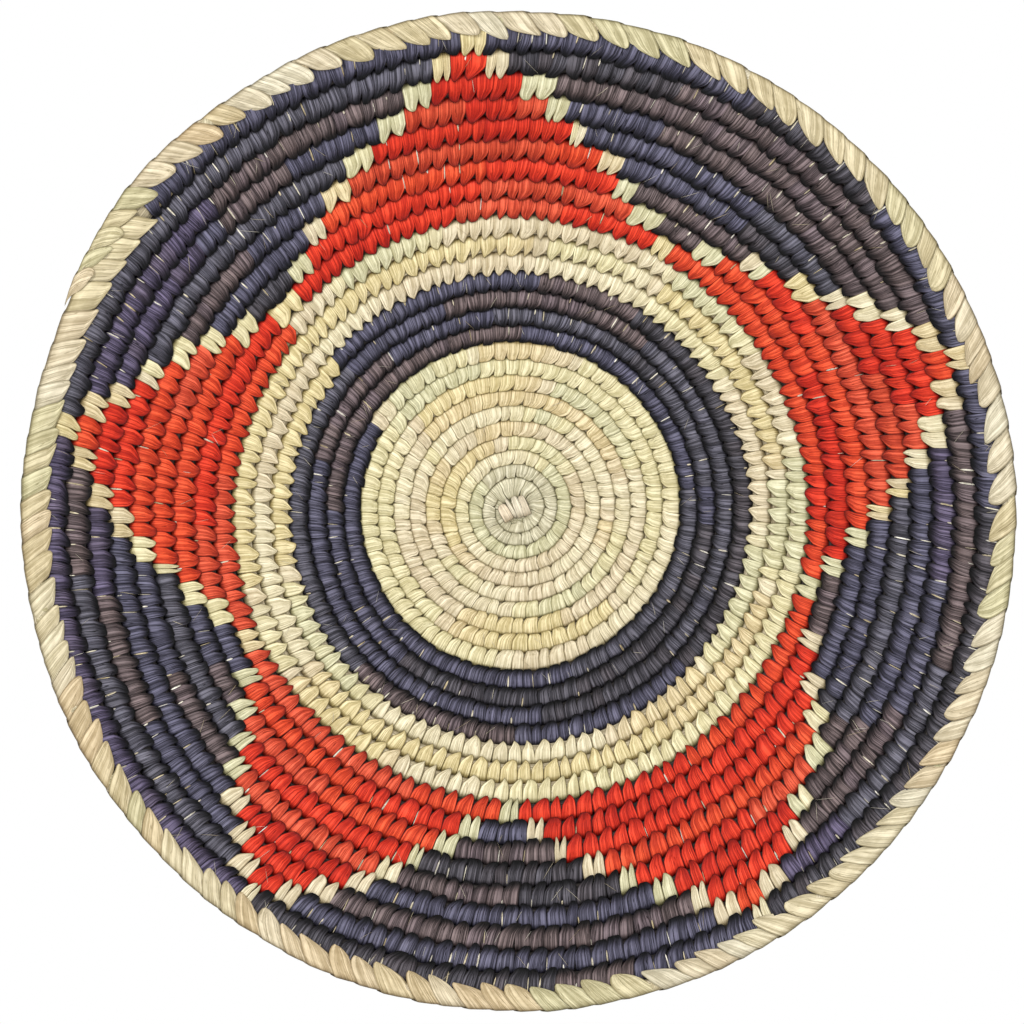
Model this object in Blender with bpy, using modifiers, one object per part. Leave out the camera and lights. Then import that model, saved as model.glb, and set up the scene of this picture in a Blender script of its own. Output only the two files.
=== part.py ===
# Coiled wall basket: a shallow round dish sewn from one long coil.
# A bundle of leaf fibre spirals out from a small knot. Leaf strips are wrapped round it,
# and each strip also bites into the round before it. Dyed strips draw a five-pointed star,
# and the last round is sewn over with wide pale strips in a false braid.
#
# The basket is modelled lying on its back (X right, Y up the wall, Z towards the room).
# A parent empty stands it up, so its flat back is on the plane Y = 0 and it faces -Y.

import math
from bisect import bisect_right

import bmesh
import bpy
from mathutils import Vector

# The spiral, seen from the front. A row is one turn of the coil, and row 1 is the first.
ROUNDS = 27
START_RADIUS = 0.0086         # outer edge of the coil where it starts
START_PITCH = 0.0047          # width of the coil where it starts
RIM_PITCH = 0.0091            # width of the coil where the rim starts, seen from the front
PITCH_GROWTH = 0.65           # below 1, most of the thickening is done early
START_ANGLE = 141.0           # degrees from +X, anticlockwise; every colour change steps here
ROWS_LOW = 0.0034             # how far the outer rows lie below a circle round the knot
LOW_START, LOW_FULL = 4, 22   # the rows between which they get so low
RIM_TRIM = 0.0034             # how much thinner the last row gets than the row before
TRIM_TURNS = 0.3              # over this much of its first turn

# The dish.
FLAT_RADIUS = 0.060           # the base is flat inside this radius
RIM_RISE = 0.036              # how far the rim stands out in front of the base
DISH_POWER = 1.6              # 1 is a cone, and more turns up later

# The last row of each kind of wrapping. The rim is one row more.
START_END = 2                 # the bare start, before the bundle goes in
CENTRE_END = 10
DARK_RING_END = 14
PALE_RING_END = 17
EDGE_END = ROUNDS - 1

# The star, in degrees from +X, anticlockwise and past START_ANGLE.
TIPS = (169.0, 235.5, 302.0, 379.5, 455.0)
VALLEYS = (138.0, 206.0, 269.0, 346.0, 421.5, 498.0)
FAR_SIDE_POWERS = (1.0, 1.0, 0.9, 0.7, 1.0)   # under 1, that point's far side is hollowed
VALLEY_HALF = 2.0             # half of the pale block where two points meet
FIELD_HALF = 4.5              # half of the first dark row above a valley
TIP_HALF = 1.5                # half of the pale block on a tip

# Thicknesses and gaps.
WRAP_THICKNESS = 0.0005       # a leaf strip
BUNDLE_CLEARANCE = 0.0003     # between the bundle and the strips round it
ROW_GAP = 0.0005              # between a row and the next
END_GAP = 0.0003              # between two pieces that meet
STITCH_WIDTH = 0.0055         # a strip where it crosses into the row before
STITCH_HEIGHT = 0.0016
STITCH_BITE = 0.0007          # how deep its ends sit in the two rows

# The knot and the coil's tapered end.
KNOT_OVERHANG = 0.0015        # how far its head reaches past its shank
KNOT_HEAD_EDGE = 0.0010
KNOT_DOME = 0.0014
TAIL_TURNS = 0.05             # the taper lies outside the start of the last row
TAIL_END_SCALE = 0.35
RIM_BUNDLE_REACH = 0.02       # how many turns of the taper the rim's bundle fills

# Facets. The coil runs straight between stations. Rows share the angles of their stations,
# which keeps them evenly apart, and no wrapping starts or ends close to one.
INNER_STATIONS = 10           # a turn, up to CENTRE_END
OUTER_STATIONS = 20           # a turn, a multiple of INNER_STATIONS
STATION_MARGIN = 0.0015
KNOT_STEPS = 24
HEX = math.radians(30)        # the slanted sides of a hexagon from upright

# Finishes: colour, roughness
PALE = ((0.80, 0.70, 0.50), 0.62)
GREENISH = ((0.62, 0.64, 0.46), 0.62)
DARK = ((0.045, 0.050, 0.075), 0.50)
RED = ((0.66, 0.075, 0.045), 0.50)
BRAID = ((0.78, 0.66, 0.45), 0.58)
FIBRE = ((0.66, 0.55, 0.34), 0.80)


for old in list(bpy.data.objects):
    bpy.data.objects.remove(old, do_unlink=True)

parts = bpy.data.collections.new("wall_basket")
cutters = bpy.data.collections.new("wall_basket_cutters")
for group in (parts, cutters):
    bpy.context.scene.collection.children.link(group)

stand = bpy.data.objects.new("wall_basket_stand", None)
stand.rotation_euler.x = math.radians(90)
parts.objects.link(stand)


def eased(share):
    """A slow start and end between 0 and 1."""
    share = min(max(share, 0.0), 1.0)
    return share * share * (3 - 2 * share)


def boundary(turn, rim_trim=RIM_TRIM):
    """Radius of the line between the row that is here at this turn and the next one out."""
    growth = max(turn, 0.0) ** (1 + PITCH_GROWTH) / ((1 + PITCH_GROWTH) * ROUNDS ** PITCH_GROWTH)
    radius = START_RADIUS + START_PITCH * turn + (RIM_PITCH - START_PITCH) * growth
    low = ROWS_LOW * eased((turn - LOW_START) / (LOW_FULL - LOW_START))
    angle = math.radians(START_ANGLE) + 2 * math.pi * turn
    return radius - low * math.sin(angle) - rim_trim * eased((turn - EDGE_END) / TRIM_TURNS)


def dish_height(radius):
    """Height of the dish over its flat base."""
    share = max(0.0, (radius - FLAT_RADIUS) / (boundary(ROUNDS) - FLAT_RADIUS))
    return RIM_RISE * share ** DISH_POWER


def half_width(inner, width):
    """Half width of the coil, corner to centre, in a row that starts at this radius."""
    climb = dish_height(inner + width) - dish_height(inner)
    return (width * math.cos(HEX) + climb * math.sin(HEX) - ROW_GAP) / (2 * math.cos(HEX))


def station(turn):
    """Centre and half width of the coil, worked out for a station."""
    inner = boundary(turn - 1)
    full_width = boundary(turn, 0.0) - inner
    width = boundary(turn) - inner
    if turn > ROUNDS:
        width *= 1 - (1 - TAIL_END_SCALE) * (turn - ROUNDS) / TAIL_TURNS
    half, full_half = half_width(inner, width), half_width(inner, full_width)
    radius = inner + width / 2
    angle = math.radians(START_ANGLE) + 2 * math.pi * turn
    # Where the coil is thinner than full, it lies along the middle of the row before.
    height = dish_height(radius) + full_half * math.cos(HEX)
    return Vector((radius * math.cos(angle), radius * math.sin(angle), height)), half


def all_stations():
    """Turns of the stations, half an outer step off the whole turns."""
    first = 0.5 / OUTER_STATIONS - 1 / INNER_STATIONS
    inner = [first + i / INNER_STATIONS for i in range(INNER_STATIONS * CENTRE_END + 1)]
    beyond = OUTER_STATIONS * (ROUNDS - CENTRE_END + 1)
    return inner + [inner[-1] + i / OUTER_STATIONS for i in range(1, beyond)]


stations = all_stations()


def coil_at(turn):
    """Centre and half width of the coil, on a station or on the straight run between two."""
    after = bisect_right(stations, turn)
    low, high = stations[after - 1], stations[after]
    centre, half = station(low)
    if turn == low:
        return centre, half
    share = (turn - low) / (high - low)
    next_centre, next_half = station(high)
    # A run is a little thinner than its ends, which are cut along the bend.
    thinned = math.cos(math.pi * (high - low))
    return centre.lerp(next_centre, share), (half + (next_half - half) * share) * thinned


def turns_along(start, end):
    """Both ends and every station between them."""
    return [start] + [turn for turn in stations if start < turn < end] + [end]


def off_station(turn):
    """The nearest turn that is clear of the bend at a station."""
    nearest = min(stations, key=lambda each: abs(each - turn))
    margin = STATION_MARGIN / (2 * math.pi * boundary(turn - 0.5))
    if abs(turn - nearest) >= margin:
        return turn
    return nearest + math.copysign(margin, turn - nearest)


def wrap_radius(half):
    """Outside of the strips, corner to centre."""
    return half


def bore_radius(half):
    """Inside of the strips: a square stood on its corner, under their flat top."""
    return half * math.cos(HEX) - WRAP_THICKNESS


def bundle_radius(half):
    """The bundle: the same square, smaller by the clearance on each side."""
    return bore_radius(half) - BUNDLE_CLEARANCE * math.sqrt(2)


def turn_at(row, degrees):
    """The turn at which a row passes an angle, kept clear of the stations."""
    return off_station(row - 1 + (degrees - START_ANGLE) / 360)


def drawn_in(start, end):
    """A stretch shortened by half the end gap at each end."""
    start_trim = END_GAP / 2 / (2 * math.pi * boundary(start - 0.5))
    end_trim = END_GAP / 2 / (2 * math.pi * boundary(end - 0.5))
    return start + start_trim, end - end_trim


def tube(name, stretch, radius_of, bevel_resolution):
    """A closed tube along a stretch of the coil, as a mesh."""
    turns = turns_along(*stretch)
    curve = bpy.data.curves.new(name, "CURVE")
    curve.dimensions = "3D"
    curve.twist_mode = "Z_UP"
    curve.bevel_depth = 0.001
    curve.bevel_resolution = bevel_resolution
    curve.use_fill_caps = True
    spline = curve.splines.new("POLY")
    spline.points.add(len(turns) - 1)
    for point, turn in zip(spline.points, turns):
        centre, half = coil_at(turn)
        point.co = (*centre, 1.0)
        point.radius = radius_of(half) / curve.bevel_depth
    holder = bpy.data.objects.new(name, curve)
    parts.objects.link(holder)
    evaluated = holder.evaluated_get(bpy.context.evaluated_depsgraph_get())
    mesh = bpy.data.meshes.new_from_object(evaluated)
    bpy.data.objects.remove(holder)
    bpy.data.curves.remove(curve)
    shape = bmesh.new()
    shape.from_mesh(mesh)
    bmesh.ops.remove_doubles(shape, verts=shape.verts, dist=1e-6)
    shape.to_mesh(mesh)
    shape.free()
    return mesh


def stitch(name, turn):
    """The block of strip that crosses from a row into the next one out."""
    here, half = coil_at(turn)
    beyond, next_half = coil_at(turn + 1)
    across = beyond - here
    tilt = math.asin(across.z / across.length)
    reach = math.cos(HEX) / math.cos(HEX - tilt)
    gap = across.length - (half + next_half) * reach
    middle = here + across.normalized() * (half * reach + gap / 2)
    shape = bmesh.new()
    bmesh.ops.create_cube(shape, size=1.0)
    size = (gap + 2 * STITCH_BITE, STITCH_WIDTH, STITCH_HEIGHT)
    bmesh.ops.scale(shape, vec=size, verts=shape.verts)
    bmesh.ops.rotate(shape, matrix=across.to_track_quat("X", "Z").to_matrix(), verts=shape.verts)
    bmesh.ops.translate(shape, vec=middle, verts=shape.verts)
    mesh = bpy.data.meshes.new(name)
    shape.to_mesh(mesh)
    shape.free()
    return mesh


def joined(name, meshes):
    """One mesh from several."""
    shape = bmesh.new()
    for mesh in meshes:
        shape.from_mesh(mesh)
        bpy.data.meshes.remove(mesh)
    whole = bpy.data.meshes.new(name)
    shape.to_mesh(whole)
    shape.free()
    return whole


def add_part(name, mesh, finish):
    colour, roughness = finish
    look = bpy.data.materials.new(name)
    look.use_nodes = True
    shader = look.node_tree.nodes["Principled BSDF"]
    shader.inputs["Base Color"].default_value = (*colour, 1.0)
    shader.inputs["Roughness"].default_value = roughness
    shader.inputs["Metallic"].default_value = 0.0
    part = bpy.data.objects.new(name, mesh)
    part.data.materials.append(look)
    part.parent = stand
    parts.objects.link(part)
    return part


def add_cutter(name, mesh):
    cutter = bpy.data.objects.new(name, mesh)
    cutter.parent = stand
    cutter.hide_render = True
    cutter.display_type = "WIRE"
    cutters.objects.link(cutter)
    return cutter


def combine(part, other, operation):
    modifier = part.modifiers.new(operation.title(), "BOOLEAN")
    modifier.operation = operation
    modifier.solver = "EXACT"
    modifier.object = other


def add_wrap(name, stretches, finish, bore, stitch_turns=()):
    """A sleeve of leaf strips round the bundle, on one row or on rows tied by stitches."""
    rows = [tube(name, drawn_in(*stretch), wrap_radius, 1) for stretch in stretches]
    wrap = add_part(name, joined(name, rows), finish)
    if stitch_turns:
        stitches = name + "_stitches"
        blocks = [stitch(stitches, turn) for turn in stitch_turns]
        combine(wrap, add_cutter(stitches, joined(stitches, blocks)), "UNION")
    combine(wrap, bore, "DIFFERENCE")


def add_knot():
    """The button of leaf strips that the coil starts round."""
    first_runs = [coil_at(k / (10 * INNER_STATIONS)) for k in range(2 * INNER_STATIONS)]
    shank = min(centre.xy.length - half for centre, half in first_runs) - END_GAP
    under = 2 * coil_at(1.0)[1] * math.cos(HEX) + END_GAP
    head = shank + KNOT_OVERHANG
    outline = (
        (0.0, under + KNOT_HEAD_EDGE + KNOT_DOME),
        (head * 0.55, under + KNOT_HEAD_EDGE + KNOT_DOME * 0.85),
        (head, under + KNOT_HEAD_EDGE),
        (head, under),
        (shank, under),
        (shank, 0.0),
        (0.0, 0.0),
    )
    profile = bpy.data.meshes.new("start_knot")
    points = [(radius, 0.0, height) for radius, height in outline]
    profile.from_pydata(points, [(i, i + 1) for i in range(len(points) - 1)], [])
    knot = add_part("start_knot", profile, BRAID)
    turned = knot.modifiers.new("Screw", "SCREW")
    turned.steps = KNOT_STEPS
    turned.render_steps = KNOT_STEPS
    turned.use_merge_vertices = True
    turned.merge_threshold = 0.00001


def step_edge(valley, tip, row, power):
    """Angle of a star point's stepped side in a row, from over its valley to its tip."""
    side = math.copysign(1.0, tip - valley)
    lowest = valley + side * FIELD_HALF
    highest = tip - side * TIP_HALF
    first_row = PALE_RING_END + 2
    return lowest + (highest - lowest) * ((row - first_row) / (EDGE_END - first_row)) ** power


def near_edge(point, row):
    """Where a star point starts in a row, its pale outline included."""
    if row == PALE_RING_END + 1:
        return max(VALLEYS[point] + VALLEY_HALF, START_ANGLE)
    return step_edge(VALLEYS[point], TIPS[point], row, 1.0)


def far_edge(point, row):
    """Where a star point ends in a row, its pale outline included."""
    if row == PALE_RING_END + 1:
        return VALLEYS[point + 1] - VALLEY_HALF
    return step_edge(VALLEYS[point + 1], TIPS[point], row, FAR_SIDE_POWERS[point])


def next_point_start(point, row):
    """The turn where the star point after this one starts, past the end of the row if need be."""
    if point + 1 < len(TIPS):
        return turn_at(row, near_edge(point + 1, row))
    return turn_at(row + 1, near_edge(0, row + 1))


def add_star(bore):
    """The red points, the dark fields between them and the pale blocks at their ends."""
    star_rows = range(PALE_RING_END + 1, EDGE_END)
    field_rows = range(PALE_RING_END + 2, EDGE_END)
    for point, tip in enumerate(TIPS):
        number = point + 1
        red = [(turn_at(row, near_edge(point, row)), turn_at(row, far_edge(point, row)))
               for row in star_rows]
        ties = [turn_at(row, tip) for row in star_rows[:-1]]
        add_wrap(f"star_point_{number}", red, RED, bore, ties)

        valley = VALLEYS[number]
        block_start = turn_at(star_rows[0], far_edge(point, star_rows[0]))
        add_wrap(f"valley_block_{number}", [(block_start, next_point_start(point, star_rows[0]))],
                 PALE, bore)

        dark = [(turn_at(row, far_edge(point, row)), next_point_start(point, row))
                for row in field_rows]
        ties = [turn_at(row, valley) for row in field_rows[:-1]]
        add_wrap(f"dark_field_{number}", dark, DARK, bore, ties)

        tip_end = turn_at(EDGE_END, tip + TIP_HALF)
        add_wrap(f"tip_block_{number}", [(turn_at(EDGE_END, tip - TIP_HALF), tip_end)], PALE, bore)
        last = number == len(TIPS)
        edge_end = EDGE_END if last else turn_at(EDGE_END, TIPS[number] - TIP_HALF)
        add_wrap(f"edge_wrap_{number}", [(tip_end, edge_end)], DARK, bore)


def outline_points(turn, radius_of, sides):
    """Points on the coil's cross-section, as distance from the centre and height."""
    centre, half = coil_at(turn)
    radius = radius_of(half)
    corners = [Vector((centre.xy.length + radius * math.cos(2 * math.pi * i / sides),
                       centre.z + radius * math.sin(2 * math.pi * i / sides)))
               for i in range(sides + 1)]
    return [corners[i].lerp(corners[i + 1], k / 10) for i in range(sides) for k in range(10)]


def least_gap(stretch, radius_of, sides):
    """Smallest distance between a tube's rows, measured between points on their outlines."""
    gaps = []
    for turn in turns_along(stretch[0], stretch[1] - 1):
        here = outline_points(turn, radius_of, sides)
        beyond = outline_points(turn + 1, radius_of, sides)
        gaps.append(min((a - b).length for a in here for b in beyond))
    return min(gaps)


bore = add_cutter("bundle_bore", tube(
    "bundle_bore", (START_END - 0.02, ROUNDS + RIM_BUNDLE_REACH), bore_radius, 0))
bundle = drawn_in(START_END, EDGE_END)
rim_bundle = drawn_in(EDGE_END, ROUNDS + RIM_BUNDLE_REACH)

add_knot()
add_part("start_coil", tube("start_coil", drawn_in(0.0, START_END), wrap_radius, 1), GREENISH)
add_part("foundation_coil", tube("foundation_coil", bundle, bundle_radius, 0), FIBRE)
add_wrap("centre_wrap", [(START_END, CENTRE_END)], PALE, bore)
add_wrap("dark_ring_wrap", [(CENTRE_END, DARK_RING_END)], DARK, bore)
add_wrap("pale_ring_wrap", [(DARK_RING_END, PALE_RING_END)], PALE, bore)
add_star(bore)
add_part("rim_bundle", tube("rim_bundle", rim_bundle, bundle_radius, 0), FIBRE)
add_wrap("rim_braid", [(EDGE_END, ROUNDS + TAIL_TURNS)], BRAID, bore)

print(f"foundation_coil: least gap to itself {1000 * least_gap(bundle, bundle_radius, 4):.2f} mm")
for wrap_name, wrap_stretch in (("centre_wrap", (START_END, CENTRE_END)),
                                ("dark_ring_wrap", (CENTRE_END, DARK_RING_END)),
                                ("pale_ring_wrap", (DARK_RING_END, PALE_RING_END))):
    print(f"{wrap_name}: least gap to itself {1000 * least_gap(wrap_stretch, wrap_radius, 6):.2f} mm")
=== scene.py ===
# %% [markdown]
# # A coiled wall basket
# The real basket is one long coil. A bundle of dry leaf fibre spirals out from a small knot, and split
# leaf strips are wrapped round it side by side. Each strip also bites into the row before, so the rows
# hold each other. Dyed strips draw a red star on a dark ground, and wide pale leaves bind the rim.
#
# One strip is modelled here, and every other strip is a copy of it, bent round the coil where the
# weaver would have laid it. The camera and the light come first, so that each piece can be seen at once.

import math

import bpy
import numpy as np
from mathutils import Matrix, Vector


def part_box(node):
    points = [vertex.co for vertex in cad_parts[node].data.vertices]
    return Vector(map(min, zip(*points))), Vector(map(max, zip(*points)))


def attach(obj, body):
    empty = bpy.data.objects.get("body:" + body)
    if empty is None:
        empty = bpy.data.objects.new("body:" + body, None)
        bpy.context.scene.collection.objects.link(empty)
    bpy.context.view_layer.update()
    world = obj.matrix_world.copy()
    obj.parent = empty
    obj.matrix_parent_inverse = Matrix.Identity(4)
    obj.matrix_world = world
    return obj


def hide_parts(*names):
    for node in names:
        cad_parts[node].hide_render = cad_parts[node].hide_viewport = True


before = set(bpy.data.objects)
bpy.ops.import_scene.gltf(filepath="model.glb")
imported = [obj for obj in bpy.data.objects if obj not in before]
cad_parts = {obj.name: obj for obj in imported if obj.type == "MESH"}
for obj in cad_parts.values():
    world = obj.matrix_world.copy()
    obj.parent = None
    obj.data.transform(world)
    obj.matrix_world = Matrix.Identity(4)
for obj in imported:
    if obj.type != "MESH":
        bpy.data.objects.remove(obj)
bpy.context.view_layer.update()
print("CAD nodes:", len(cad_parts))

# %% [markdown]
# ## The camera and the light
# The photograph looks straight at the face, from far away, so a long lens stands square to the wall.
# Its background is pure white and its light soft and even: a white world does that, and one large
# lamp from the upper left makes the crown of each row lighter than its flanks, with painted shade in the
# leaf colour adding to it.

# %% Camera
PHOTO_SIDE = 1024  # pixels
MM_PER_PIXEL = 0.4016  # at the rim, which faces the camera
KNOT_PIXEL = (516, 508)
RIM_DEPTH = 0.036
CAMERA_DISTANCE = 3.0
SENSOR = 36.0

view_width = PHOTO_SIDE * MM_PER_PIXEL / 1000
camera_data = bpy.data.cameras.new("camera")
camera_data.sensor_width = SENSOR
camera_data.lens = SENSOR * (CAMERA_DISTANCE - RIM_DEPTH) / view_width
camera_data.clip_end = 20.0
camera = bpy.data.objects.new("camera", camera_data)
camera.location = ((PHOTO_SIDE / 2 - KNOT_PIXEL[0]) * MM_PER_PIXEL / 1000, -CAMERA_DISTANCE,
                   (KNOT_PIXEL[1] - PHOTO_SIDE / 2) * MM_PER_PIXEL / 1000)
camera.rotation_euler = (math.radians(90), 0, 0)
bpy.context.scene.collection.objects.link(camera)
bpy.context.scene.camera = camera
bpy.context.scene.view_settings.view_transform = "Standard"
print(f"lens {camera_data.lens:.0f} mm")

# %% White world, lamps and floor
AMBIENT = 0.62
FLOOR_MIDDLE, FLOOR_SIZE = (0, -0.2, -0.27), (3.0, 1.6, 1.0)

world = bpy.data.worlds.new("white_room")
bpy.context.scene.world = world
world.use_nodes = True
sky = world.node_tree
sky.nodes.clear()
sky_output = sky.nodes.new("ShaderNodeOutputWorld")
seen, lighting, mixer, ray = (sky.nodes.new(kind) for kind in (
    "ShaderNodeBackground", "ShaderNodeBackground", "ShaderNodeMixShader", "ShaderNodeLightPath"))
seen.inputs["Strength"].default_value = 1.0
lighting.inputs["Strength"].default_value = AMBIENT
for each in (seen, lighting):
    each.inputs["Color"].default_value = (1.0, 1.0, 1.0, 1.0)
sky.links.new(ray.outputs["Is Camera Ray"], mixer.inputs["Fac"])
sky.links.new(lighting.outputs[0], mixer.inputs[1])
sky.links.new(seen.outputs[0], mixer.inputs[2])
sky.links.new(mixer.outputs[0], sky_output.inputs["Surface"])


def add_lamp(name, place, size, watts):
    """A large square lamp that looks at the middle of the basket."""
    data = bpy.data.lights.new(name, "AREA")
    data.shape, data.size, data.energy = "SQUARE", size, watts
    lamp = bpy.data.objects.new(name, data)
    lamp.location = place
    towards = -lamp.location.normalized()
    lamp.rotation_euler = towards.to_track_quat("-Z", "Y").to_euler()
    bpy.context.scene.collection.objects.link(lamp)


add_lamp("key_lamp", (-0.9, -1.9, 1.5), 0.9, 34.0)
add_lamp("fill_lamp", (1.4, -2.0, 0.2), 1.4, 10.0)

bpy.ops.mesh.primitive_plane_add(size=1, location=FLOOR_MIDDLE)
floor = bpy.context.object
floor.name = "floor"
floor.scale = FLOOR_SIZE
bpy.ops.object.transform_apply(location=True, rotation=True, scale=True)
floor_look = bpy.data.materials.new("floor_paint")
floor_look.use_nodes = True
floor_shader = floor_look.node_tree.nodes["Principled BSDF"]
floor_shader.inputs["Base Color"].default_value = (0.86, 0.86, 0.85, 1.0)
floor_shader.inputs["Roughness"].default_value = 0.9
floor.data.materials.append(floor_look)
print("lamps:", [light.name for light in bpy.data.lights])

# %% [markdown]
# ## The path of the coil
# A row is one turn of the coil, and the first is row 1. The rows get wider outwards, and past the flat
# base they climb. These sizes are the CAD model's, so each strip lands on the solid it stands for. Only
# the coil's end is drawn thinner.
# `coil_frame` gives, for any turn, the middle of the coil, its width and half thickness, the directions
# out to the next row and up out of the coil's face, and the radius.

# %% The spiral
ROUNDS = 27
START_RADIUS = 0.0086
START_PITCH = 0.0047
RIM_PITCH = 0.0091
PITCH_GROWTH = 0.65
START_ANGLE = 141.0
ROWS_LOW = 0.0034  # the outer rows hang this much lower than a circle
LOW_START, LOW_FULL = 4, 22
RIM_TRIM = 0.0034  # and the last row is this much thinner than the one before
TRIM_TURNS = 0.3
FLAT_RADIUS = 0.060
RIM_RISE = 0.036
DISH_POWER = 1.6
ROW_GAP = 0.0005
TAIL_TURNS = 0.05
TAIL_END_SCALE = 0.10  # so thin that the last leaf lies flush
FLANK = math.radians(30)  # the CAD coil is a hexagon, and this is how far its flanks lean

START_END, CENTRE_END, DARK_RING_END, PALE_RING_END, EDGE_END = 2, 10, 14, 17, 26


def eased(share):
    """A slow start and end between 0 and 1."""
    share = np.clip(share, 0.0, 1.0)
    return share * share * (3 - 2 * share)


def boundary(turn, rim_trim=RIM_TRIM):
    """Radius of the line between the row that is here at this turn and the next one out."""
    turn = np.asarray(turn, float)
    growth = np.maximum(turn, 0.0) ** (1 + PITCH_GROWTH) / ((1 + PITCH_GROWTH) * ROUNDS ** PITCH_GROWTH)
    low = ROWS_LOW * eased((turn - LOW_START) / (LOW_FULL - LOW_START))
    trim = rim_trim * eased((turn - EDGE_END) / TRIM_TURNS)
    angle = math.radians(START_ANGLE) + 2 * math.pi * turn
    return (START_RADIUS + START_PITCH * turn + (RIM_PITCH - START_PITCH) * growth
            - low * np.sin(angle) - trim)


def dish_height(radius):
    """How far the dish stands in front of its flat base."""
    share = np.maximum(0.0, (radius - FLAT_RADIUS) / (boundary(ROUNDS) - FLAT_RADIUS))
    return RIM_RISE * share ** DISH_POWER


def climb_and_thickness(inner, width):
    """How far a coil of this width climbs, and half its thickness."""
    climb = dish_height(inner + width) - dish_height(inner)
    return climb, (width * math.cos(FLANK) + climb * math.sin(FLANK) - ROW_GAP) / 2


def coil_frame(turn):
    """Middle, width, half thickness, directions out and up, and radius of the coil at some turns."""
    turn = np.asarray(turn, float)
    inner = boundary(turn - 1)
    tail = np.clip((turn - ROUNDS) / TAIL_TURNS, 0.0, 1.0)
    width = (boundary(turn) - inner) * (1 - (1 - TAIL_END_SCALE) * tail)
    radius = inner + width / 2
    climb, thick = climb_and_thickness(inner, width)
    full_thick = climb_and_thickness(inner, boundary(turn, 0.0) - inner)[1]
    tilt = np.arctan2(climb, width)
    angle = math.radians(START_ANGLE) + 2 * math.pi * turn
    radial = np.stack([np.cos(angle), np.zeros_like(angle), np.sin(angle)], -1)
    front = np.array([0.0, -1.0, 0.0])
    middle = radial * radius[..., None] + front * (dish_height(radius) + full_thick)[..., None]
    out = radial * np.cos(tilt)[..., None] + front * np.sin(tilt)[..., None]
    up = front * np.cos(tilt)[..., None] - radial * np.sin(tilt)[..., None]
    return middle, np.hypot(width, climb), thick * np.cos(tilt), out, up, radius


def frame_beside(turns, sideways):
    """The coil at points that lie this far along it from some turns."""
    return coil_frame(turns[:, None] + sideways / (2 * math.pi * coil_frame(turns)[-1][:, None]))


print(f"{ROUNDS} rows, rim at {1000 * boundary(float(ROUNDS)):.1f} mm")

# %% [markdown]
# Hand sewing is never quite round. Slow waves move all pieces alike, so rows wander together.

# %% The hand of the maker
WAVES = (  # length in metres, heading in degrees, phase
    (0.110, 20, 0.2), (0.071, 75, 1.9), (0.150, 130, 4.1), (0.049, 160, 2.7), (0.088, 100, 5.5))
WANDER = 0.00022
FORWARD_SHARE = 0.6  # a row that is pushed aside also stands a little forward


def hand_made(points):
    """Points moved by slow waves across the face of the basket."""
    moved = points.copy()
    for length, heading, phase in WAVES:
        heading = math.radians(heading)
        place = points[:, 0] * math.cos(heading) + points[:, 2] * math.sin(heading)
        push = WANDER * np.sin(2 * math.pi * place / length + phase)
        moved[:, 0] += push * math.cos(heading * 2 + phase)
        moved[:, 2] += push * math.sin(heading * 2 + phase)
        moved[:, 1] -= FORWARD_SHARE * np.abs(push)
    return moved


print(f"{len(WAVES)} waves of {1000 * WANDER:.2f} mm")


# %% [markdown]
# ## One leaf strip
# Seen from the front a strip is a shield: full width over the coil, then drawn in to a tooth where it
# bites into the row before. It goes on round the back, so the pattern is a closed ring. A torus already
# is one. Fifteen stations of six points bring it to shape: the ring follows the coil's section, and
# the six points across make the crown, two shoulders, two thin edges and the underside.

# %% Leaf strip, modelled once
LOOP = (  # out, up and width at each station, in coil widths
    (0.61, 0.02, 1.00),  # outer edge, tucked under the next row
    (0.51, 0.23, 1.00),
    (0.32, 0.385, 1.00),
    (0.08, 0.445, 0.98),  # crown
    (-0.14, 0.435, 0.93),
    (-0.28, 0.405, 0.81),  # it narrows
    (-0.40, 0.375, 0.65),
    (-0.50, 0.365, 0.47),  # the tooth, over the shoulder of the row before
    (-0.59, 0.385, 0.26),
    (-0.66, 0.400, 0.07),
    (-0.68, 0.05, 0.10),  # and down through it
    (-0.58, -0.33, 0.70),
    (-0.34, -0.42, 1.00),
    (0.05, -0.44, 1.00),
    (0.42, -0.30, 1.00),
)
COLUMNS = (  # across, lift
    (0.0, 0.013), (0.42, 0.008), (0.50, -0.024), (0.0, -0.024), (-0.50, -0.024), (-0.42, 0.008))
STATIONS, ACROSS = len(LOOP), len(COLUMNS)
THICKNESS_DRAWN = 0.44  # half the coil's thickness that LOOP is drawn for, in coil widths
THIN_LIFT = 0.4  # the tooth's thickness, as a share


def outward_of(ring):
    """Which way is out at each point of a closed ring."""
    heading = np.roll(ring, -1, 0) - np.roll(ring, 1, 0)
    return np.stack([heading[:, 1], -heading[:, 0]], 1) / np.linalg.norm(heading, axis=1)[:, None]


bpy.ops.object.select_all(action="DESELECT")
bpy.ops.mesh.primitive_torus_add(major_segments=STATIONS, minor_segments=ACROSS,
                                 major_radius=0.5, minor_radius=0.1)
strip_pattern = bpy.context.object
strip_pattern.name = "leaf_strip_pattern"

ring = np.array([(out, up) for out, up, _ in LOOP])
outward = outward_of(ring)
for vertex in strip_pattern.data.vertices:
    station, column = divmod(vertex.index, ACROSS)
    width = LOOP[station][2]
    across, lift = COLUMNS[column]
    spot = ring[station] + outward[station] * lift * (THIN_LIFT + (1 - THIN_LIFT) * width)
    vertex.co = (spot[0], spot[1], across * width)
print("leaf strip:", len(strip_pattern.data.polygons), "faces")

# %% [markdown]
# A strip needs two maps. `strip` says how far along and across the leaf a point is, so that fibres and
# creases can follow the leaf into its tooth. `OFBake` gives every copy its own plot on one sheet, which
# is what a texture needs when the basket leaves Blender.

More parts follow.
